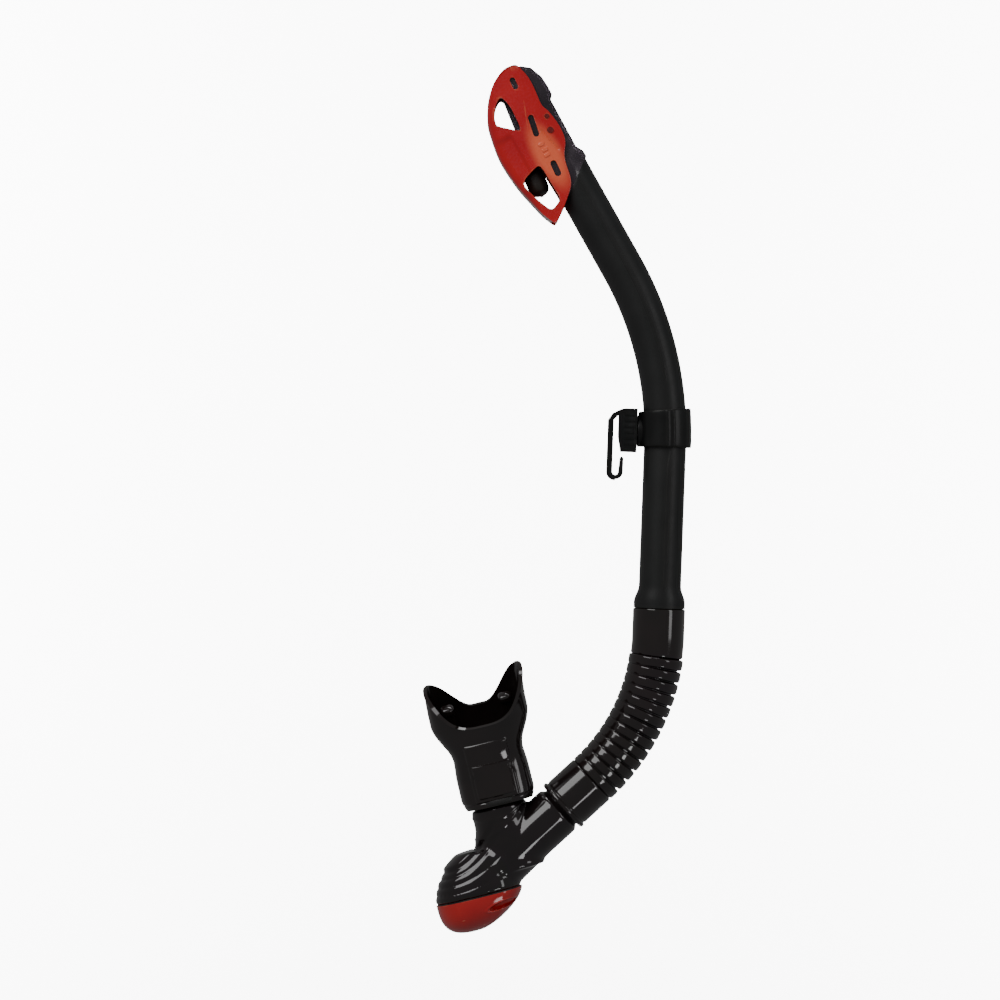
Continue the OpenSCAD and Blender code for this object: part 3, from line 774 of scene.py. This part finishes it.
band = sheet_mesh("keeper_band_moulding", band_surface(), wrap_rows=True, wrap_columns=True)
keeper_black = finish_material(
    "keeper_black", (0.0035, 0.0035, 0.0035), (0.006, 0.006, 0.006), (0.03, 0.03, 0.03),
    rough=0.36, uneven=0.14, grain_depth=0.00002, Specular_IOR_Level=0.35,
)
band.data.materials.append(keeper_black)
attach(band, "keeper")
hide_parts("keeper_band")

hub_z = 1000 * joints["keeper_swivel"]["pos_m"][2]


def on_boss(x, y, z):
    """Points of a plate whose thickness runs along X: the outline lies in the YZ plane."""
    return np.stack(np.broadcast_arrays(y, x, z), axis=-1)


boss_radius = 8.2
boss_turn = np.linspace(0, 2 * np.pi, 80, endpoint=False)
boss_circle = (boss_radius * np.cos(boss_turn), hub_z + boss_radius * np.sin(boss_turn))
boss_line = evenly(np.stack(boss_circle, axis=-1), 80)
boss = slab("keeper_boss", on_boss, boss_line, 2.4, 0.5, shifts=13.0)
boss.data.materials.append(keeper_black)
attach(boss, "keeper")
dress("keeper_hook", keeper_black, 0.5)
dress("keeper_rivet", brushed_steel, 0.2)


# ---------------------------------------------------------------------------------------------
# Hose: one glossy silicone moulding. A firm cuff grips the barrel's bell, thirteen rings run round
# its bend, and a second cuff with a raised lip grips the chamber's neck.

hose_radius, hose_bend = 104.0, math.radians(45.5)
hose_x, hose_z = barrel_x - hose_radius, -83.0
cuff_top, cuff_turn, lower_cuff = 14.15, math.radians(5.7), 21.0


def along_hose(section_x, section_y, along):
    """Carries section points to a length down the hose's axis: straight, round the arc, then straight."""
    turn = np.clip(along / hose_radius, 0, hose_bend)
    beyond = np.minimum(along, 0) + np.maximum(along - hose_radius * hose_bend, 0)
    reach = hose_radius + section_x
    px = hose_x + reach * np.cos(turn) - beyond * np.sin(turn)
    pz = hose_z - reach * np.sin(turn) - beyond * np.cos(turn)
    return np.stack(np.broadcast_arrays(px, section_y, pz), axis=-1)


def rounded_bar(along, start, end, corner):
    """1 between start and end, falling to 0 over a quarter-circle corner at each end."""
    inside = np.clip(np.minimum(along - start, end - along) / corner, 0, 1)
    return np.sqrt(np.clip(1 - (1 - inside) ** 2, 0, 1))


def hose_surface():
    """A profile of radius against length, turned round the hose's axis; the bore closes it.

    The grooves between the rings are shallow inside the bend, where the rings crowd together.
    """
    first, last = hose_radius * cuff_turn, hose_radius * hose_bend
    along = np.concatenate((np.linspace(-cuff_top, first, 60), np.linspace(first + 0.1, last, 340),
                            np.linspace(last + 0.1, last + lower_cuff, 70)))
    step = (last - first) / 13
    nearest = (np.floor(np.clip((along - first) / step, 0, 12.999)) + 0.5) * step + first
    ring = np.clip(1 - np.abs((along - nearest) / (0.455 * step)) ** 6, 0, 1) ** (1 / 2.4)
    radius = 11.7 + 2.25 * ring * (along > first) * (along < last)
    upper = 12.4 + 0.9 * rounded_bar(along, -cuff_top, first, 0.9)
    lower = 11.9 + 1.9 * rounded_bar(along, last - 0.4, last + lower_cuff, 1.4)
    lip = 0.7 * rounded_bar(along, last + lower_cuff - 2.6, last + lower_cuff, 0.9)
    groove = 0.35 * rounded_bar(along, last + lower_cuff - 3.8, last + lower_cuff - 2.6, 0.6)
    radius = np.where(along <= first, upper, radius)
    radius = np.where(along >= last - 0.3, lower + lip - groove, radius)
    around = np.linspace(0, 2 * np.pi, 96, endpoint=False)
    grooved = (1 - ring) * (along > first) * (along < last - 0.3)
    outside = radius[:, None] + 1.7 * grooved[:, None] * smooth_step(0.3, -0.8, np.cos(around))
    bore = np.full((along[::-6].size, 96), 10.6)
    profile_along = np.concatenate((along, along[::-6]))[:, None]
    profile_radius = np.concatenate((outside, bore))
    return along_hose(profile_radius * np.cos(around), profile_radius * np.sin(around), profile_along)


hose = sheet_mesh("hose_moulding", hose_surface(), wrap_rows=True, wrap_columns=True)
gloss_silicone = finish_material(
    "gloss_silicone", (0.0075, 0.0052, 0.0048), (0.011, 0.007, 0.0065), (0.03, 0.022, 0.02),
    rough=0.1, uneven=0.09, grain_depth=0.0000006, wear_and_sheen=0.15, Specular_IOR_Level=0.5,
    Coat_Weight=0.5, Coat_Roughness=0.06,
)
hose.data.materials.append(gloss_silicone)
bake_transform(hose)
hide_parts("hose_upper_cuff", "flex_hose", "hose_lower_cuff")


# ---------------------------------------------------------------------------------------------
# Purge chamber: a glossy black housing, injection moulded in one piece. Its round neck runs down
# from the hose and melts into an oval foot with stepped sides; a stub on top takes the mouthpiece.

foot_x, foot_z, foot_tilt = -61.5, -218.0, math.radians(16)
foot_half_w, foot_half_d = 22.5, 17.0
port = 1000 * Vector(joints["mouthpiece_swivel"]["pos_m"])
port_axis = Vector(joints["mouthpiece_swivel"]["axis"]).normalized()
port_across = Vector((port_axis.z, 0, -port_axis.x))


def in_foot(w, y, m):
    """Points of the foot's own frame, w across, m up from the joint with the cap."""
    px = foot_x + w * math.cos(foot_tilt) - m * math.sin(foot_tilt)
    pz = foot_z + w * math.sin(foot_tilt) + m * math.cos(foot_tilt)
    return np.stack(np.broadcast_arrays(px, y, pz), axis=-1)


def in_port(x, y, z):
    """Points of the port's own frame, z out of the chamber."""
    px = port.x + x * port_across.x + z * port_axis.x
    pz = port.z + x * port_across.z + z * port_axis.z
    return np.stack(np.broadcast_arrays(px, y, pz), axis=-1)


def stadium(around, half_w, half_d):
    """Two half circles joined by straight sides, at angles round the middle."""
    flat = half_w - half_d
    return half_d * np.cos(around) + flat * np.clip(2.5 * np.cos(around), -1, 1), half_d * np.sin(around)


def chamber_parts():
    """The foot, the neck and the stub, each as a closed sheet of rows round its own axis."""
    around = np.linspace(0, 2 * np.pi, 72, endpoint=False)
    up = np.linspace(0, 1, 24)[:, None]
    height = 22.5 * up
    left = 22.5 - 3.4 * up - 12.0 * up ** 2.6
    right = 22.4 - 4.5 * up
    half, centre = (left + right) / 2, (right - left) / 2
    depth = np.minimum(foot_half_d - 5.5 * up ** 2.2, half)
    w, y = stadium(around, 1.0, foot_half_d / foot_half_w)
    foot = in_foot(centre + half * w, depth * y * foot_half_w / foot_half_d, height)
    neck_start = hose_radius * hose_bend + lower_cuff
    along = neck_start + np.linspace(-14, 50, 40)[:, None]
    widening = 0.8 * smooth_step(neck_start + 18, neck_start + 45, along)
    girth = np.where(along < neck_start + 1, 11.2, 13.3 + widening)
    neck = along_hose(girth * np.cos(around), girth * np.sin(around), along)
    rise = np.linspace(-34, 10, 50)[:, None]
    spread = 1 + 0.16 * smooth_step(-9, -22, rise)
    above = rise > -0.4
    stub = in_port(np.where(above, 11.5, 14.3 * spread) * np.cos(around) - np.where(above, 0, 1.2),
                   np.where(above, 11.5, 13.4) * np.sin(around), rise)
    return [closed_rows(part) for part in (foot, neck, stub)]


def joined(name, sheets):
    """One object from several closed sheets of points."""
    parts = [sheet_mesh(f"{name}_{i}", sheet, wrap_columns=True) for i, sheet in enumerate(sheets)]
    for part in parts[1:]:
        bring = parts[0].modifiers.new("join", "BOOLEAN")
        bring.operation = "UNION"
        bring.object = part
    keep_modifiers(parts[0])
    for part in parts[1:]:
        bpy.data.objects.remove(part)
    parts[0].name = name
    return parts[0]


def read_points(piece):
    """A mesh's points in millimetres, and its normals."""
    count = len(piece.data.vertices)
    points, normals = np.empty(count * 3), np.empty(count * 3)
    piece.data.vertices.foreach_get("co", points)
    piece.data.vertices.foreach_get("normal", normals)
    return points.reshape(-1, 3) / MM, normals.reshape(-1, 3)


def write_points(piece, points):
    piece.data.vertices.foreach_set("co", (points * MM).ravel())
    piece.data.update()


def terraces(piece):
    """Pushes the steps out of the foot's sides.

    A step follows height above the joint, divided by a curve that lets the lines fan out and sweep
    up towards the neck. Each step bulges like the root of a sine, so that narrow grooves part them.
    """
    points, normals = read_points(piece)
    dx, dz = points[:, 0] - foot_x, points[:, 2] - foot_z
    w = dx * math.cos(foot_tilt) + dz * math.sin(foot_tilt)
    m = dz * math.cos(foot_tilt) - dx * math.sin(foot_tilt)
    level = m / (1 + 0.0013 * np.clip(w + 14, 0, None) ** 2)
    bulge = np.abs(np.sin(np.pi * level / 4.1)) ** 0.4
    zone = (1 - smooth_step(15.4, 17, level)) * (1 - smooth_step(13, 21, w)) * smooth_step(0.2, 0.8, m)
    flat_sided = 1 - np.abs(normals[:, 1]) * 0.25
    top = smooth_step(15.4, 16.6, level) * (1 - smooth_step(16.6, 22, level)) * 0.35 * (w < 14)
    out = (0.95 * (bulge - 0.75) * flat_sided - 0.28 * level * (level > 0) / 4) * zone + top
    port_dx, port_dz = points[:, 0] - port.x, points[:, 2] - port.z
    rise = port_dx * port_axis.x + port_dz * port_axis.z
    across = port_dx * port_across.x + port_dz * port_across.z
    for slope, lift in ((0.22, -6.0), (0.62, -10.5)):
        line = rise - lift - slope * across - 0.022 * across ** 2
        out += 0.5 * np.exp(-(line / 0.55) ** 2) * smooth_step(-24, -14, rise) * (rise < -1.5) * (m > 16)
    write_points(piece, points + normals * out[:, None])


chamber = joined("purge_chamber", chamber_parts())
remesh = chamber.modifiers.new("even", "REMESH")
remesh.mode = "VOXEL"
remesh.voxel_size = 0.62 * MM
even = chamber.modifiers.new("melt", "SMOOTH")
even.factor = 0.5
even.iterations = 24
keep_modifiers(chamber)
terraces(chamber)
soften = chamber.modifiers.new("soften", "SMOOTH")
soften.factor = 0.4
soften.iterations = 3
keep_modifiers(chamber)


ring = np.linspace(0, 2 * np.pi, 64, endpoint=False)
hollow_w, hollow_y = stadium(ring, foot_half_w - 7.4, foot_half_d - 7.4)
bores = [
    closed_rows(in_foot(hollow_w, hollow_y, np.array([-3.0, 13.0])[:, None])),
    closed_rows(in_port(9.3 * np.cos(ring), 9.3 * np.sin(ring), np.array([-22.0, 20.0])[:, None])),
    closed_rows(in_foot(40 * np.cos(ring), 40 * np.sin(ring), np.array([-20.0, 0.02])[:, None])),
]
cut_out(chamber, [sheet_mesh(f"tool_{i}", bore, wrap_columns=True) for i, bore in enumerate(bores)])
chamber.data.shade_smooth()
chamber.data.set_sharp_from_angle(angle=math.radians(50))
gloss_black = finish_material(
    "gloss_black", (0.0062, 0.0042, 0.0042), (0.009, 0.006, 0.0058), (0.03, 0.024, 0.022),
    rough=0.09, uneven=0.08, grain_depth=0.0000005, wear_and_sheen=0.2, Specular_IOR_Level=0.5,
    Coat_Weight=0.5, Coat_Roughness=0.05,
)
chamber.data.materials.clear()
chamber.data.materials.append(gloss_black)
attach(chamber, "chamber")
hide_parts("purge_housing")


# ---------------------------------------------------------------------------------------------
# Purge cap: a bowl of glossy red plastic screwed up against the chamber's foot. Water leaves
# through a lens-shaped slot on each side.

cap_depth = 17.0


def cap_surface(shrink, steps):
    """Superellipse meridians round a stadium rim: full on the left, leaner on the right."""
    around = np.linspace(0, 2 * np.pi, 260, endpoint=False)
    fall = np.linspace(0, np.pi / 2, steps)[:, None]
    rim_w, rim_y = stadium(around, foot_half_w - shrink, foot_half_d - shrink)
    across = np.cos(around)
    power = 2.2 - 0.1 * across - 0.6 * across * (across > 0) + 0.7 * np.clip(-across, 0, 1)
    inward = np.cos(fall) ** (2 / power)
    depth = (cap_depth - shrink) * np.sin(fall) ** (2 / power)
    pole = -5.0
    w = pole + (rim_w - pole) * inward
    y = rim_y * inward
    lens = ((w - 11) / 7.6) ** 2 + ((depth - 6.3 + 0.14 * (w - 11)) / 1.75) ** 2
    recess = 2.6 * smooth_step(0, 0.35, 1 - lens) * (np.abs(y) > 4)
    y = y - np.sign(y) * recess
    brow = 0.35 * np.exp(-((lens - 1.35) / 0.3) ** 2) * (np.abs(y) > 4)
    y = y + np.sign(y) * brow
    return in_foot(w, y, -0.6 - depth)


cap_rows = np.concatenate((cap_surface(0.0, 110), cap_surface(1.8, 30)[::-1]))
cap = sheet_mesh("purge_cap_bowl", cap_rows, wrap_rows=True, wrap_columns=True)
gloss_red = finish_material(
    "gloss_red", (0.40, 0.009, 0.010), (0.46, 0.014, 0.011), (0.62, 0.16, 0.08),
    rough=0.13, uneven=0.06, grain_depth=0.0000008, wear_and_sheen=0.5, cloud_scale=35,
    Coat_Weight=0.6, Coat_Roughness=0.05, Specular_IOR_Level=0.5,
)
cap.data.materials.append(gloss_red)
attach(cap, "chamber")
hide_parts("purge_cap")


# ---------------------------------------------------------------------------------------------
# Mouthpiece: one soft silicone moulding. A thick-walled base stretches over the chamber's stub,
# the body turns towards the mouth, and thin lips flare out round two bite tabs.

turn_radius, turn_end = 98.0, math.radians(32)


def at_turn(x, y, along):
    """Carries section points (x across, y fore and aft) along the mouthpiece's turn, then straight."""
    turn = np.clip(along / turn_radius, 0, turn_end)
    beyond = np.minimum(along, 0) + np.maximum(along - turn_radius * turn_end, 0)
    py = -turn_radius * (1 - np.cos(turn)) + y * np.cos(turn) - beyond * np.sin(turn)
    pz = turn_radius * np.sin(turn) + y * np.sin(turn) + beyond * np.cos(turn)
    return in_port(x, py, pz)


def mouthpiece_surface():
    """Rows go up the outside, over the rolled rim and down the inside to the airway.

    Half the width follows a waisted curve: 19 mm at the base, 18 at the waist and 27 at the lips.
    Near the turn's end the near lip rises as the cube of the distance from the middle and the far
    lip as a smooth step, so both meet in a point at each corner of the mouth.
    """
    around = np.linspace(0, 2 * np.pi, 240, endpoint=False)
    end = turn_radius * turn_end
    along = np.linspace(0.4, end - 6, 110)[:, None]
    knots = (0, 2.2, 5, 20, 25, 30.5, 36, 42, 49, end)
    half_w = np.interp(along, knots, (16.6, 18.2, 19, 18.9, 18.1, 18.0, 20.4, 23.6, 25.8, 25.9))
    half_d = np.interp(along, knots, (15.2, 15.6, 15.4, 14.2, 13.6, 13.2, 13.0, 12.9, 12.9, 13.0))
    weights = np.ones(9) / 9
    wide = np.convolve(np.pad(half_w[:, 0], 12, "edge"), np.ones(25) / 25, "valid")[:, None]
    half_w = np.convolve(np.pad(half_w[:, 0], 4, "edge"), weights, "valid")[:, None]
    half_w = half_w + (wide - half_w) * smooth_step(14, 24, along)
    half_d = np.convolve(np.pad(half_d[:, 0], 4, "edge"), weights, "valid")[:, None]
    power = 2 / 2.7
    cos_p = np.sign(np.cos(around)) * np.abs(np.cos(around)) ** power
    sin_p = np.sign(np.sin(around)) * np.abs(np.sin(around)) ** power
    near = smooth_step(0.15, 0.5, -sin_p)
    x = half_w * cos_p
    edge = 0.35
    aside = np.abs(x + 0.4)
    panel = smooth_step(0, edge, 11.2 - aside) * smooth_step(0, edge, along - 4)
    panel = panel * smooth_step(0, 0.8, 39 - along)
    tread = smooth_step(0, 0.5, 26.2 - along) * smooth_step(0, edge, 9.6 - aside)
    tread = tread * smooth_step(0, edge, along - 6)
    hem = np.exp(-((along - 3.4) / 0.45) ** 2)
    out = near * (0.7 * panel + 0.75 * tread) - 0.4 * hem
    body = at_turn((half_w - 0.4 * hem) * cos_p, (half_d + out) * sin_p, along)
    lip_w = np.clip(np.abs(cos_p), 0, 1)
    near_lip = -5 + 23.5 * lip_w ** 3
    far_lip = -6 + 24.7 * smooth_step(0.12, 1.05, lip_w)
    rise = np.where(sin_p < 0, near_lip, far_lip) - lip_w ** 2 * (2.4 - 1.2 * np.sign(cos_p))
    share = np.linspace(0.03, 1, 46)[:, None]
    bead = 0.45 * smooth_step(0.9, 0.96, share)
    flare_w = half_w[-1] + 0.25 * share ** 2 + bead
    lips = at_turn(flare_w * cos_p + 1.25 * share ** 2, (half_d[-1] + bead) * sin_p,
                   end - 6 + share * (6 + rise))
    thin = 1.5
    in_share = share[::-1]
    in_w = half_w[-1] - thin + 0.25 * in_share ** 2
    inside = at_turn(in_w * cos_p + 1.25 * in_share ** 2, (half_d[-1] - thin) * sin_p,
                     end - 6 + in_share * (6 + rise))
    down = np.linspace(end - 6.2, 0.4, 70)[:, None]
    cup = smooth_step(21, end - 7, down)
    cup_w = 9.6 + (half_w[-1] - thin - 9.6) * cup
    cup_d = 8.6 + (half_d[-1] - thin - 8.6) * cup ** 0.7
    base = smooth_step(12, 10.5, down)
    throat_w, throat_d = (cup * (1 - base) + 11.7 * base for cup in (cup_w, cup_d))
    throat = at_turn(throat_w * cos_p, throat_d * sin_p, down)
    return np.concatenate((body, lips, inside, throat))


mouthpiece = sheet_mesh("mouthpiece_moulding", mouthpiece_surface(), wrap_rows=True, wrap_columns=True)
mouthpiece.data.materials.append(gloss_silicone)
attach(mouthpiece, "mouth")
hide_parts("mouthpiece")


def bite_tab(side):
    """A rounded stem that rises from the cup to a thicker bar: a superellipse carried up the turn."""
    around = np.linspace(0, 2 * np.pi, 48, endpoint=False)
    up = np.linspace(0, 1, 40)[:, None]
    bar = smooth_step(0.62, 0.78, up)
    close = np.sqrt(np.clip(1 - np.clip((up - 0.9) / 0.1, 0, 1) ** 2, 0, 1)) * 0.999 + 0.001
    power = 2 / 3.4
    x = (3.1 + 0.3 * bar) * close * np.sign(np.cos(around)) * np.abs(np.cos(around)) ** power
    y = (1.6 + 1.4 * bar) * close * np.sign(np.sin(around)) * np.abs(np.sin(around)) ** power
    return closed_rows(at_turn(side * 15 + x, y, 43 + 15.6 * up))


for side, hand in ((-1, "front"), (1, "back")):
    tab = sheet_mesh(f"bite_tab_{hand}", bite_tab(side), wrap_columns=True)
    tab.data.materials.append(gloss_silicone)
    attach(tab, "mouth")


# ---------------------------------------------------------------------------------------------
# Inside the chamber: the grating that the purge valve rests on, the valve's clear silicone disc,
# the gasket under the cap and the two screws. A rubber band clamps the mouthpiece to its stub.

slot_dark = finish_material(
    "slot_dark", (0.02, 0.006, 0.005), (0.03, 0.009, 0.007), (0.05, 0.02, 0.02),
    rough=0.4, uneven=0.1, grain_depth=0.00001,
)
clear_silicone = finish_material(
    "clear_silicone", (0.62, 0.60, 0.56), (0.70, 0.68, 0.64), (0.8, 0.8, 0.78),
    rough=0.25, uneven=0.1, grain_depth=0.000005, Transmission_Weight=0.6,
)
dress("purge_seat", slot_dark)
dress("purge_valve", clear_silicone, 0.15)
dress("cap_gasket", soft_rubber)
dress("cap_screws", brushed_steel, 0.15)
dress("mouthpiece_clamp", soft_rubber, 0.2)
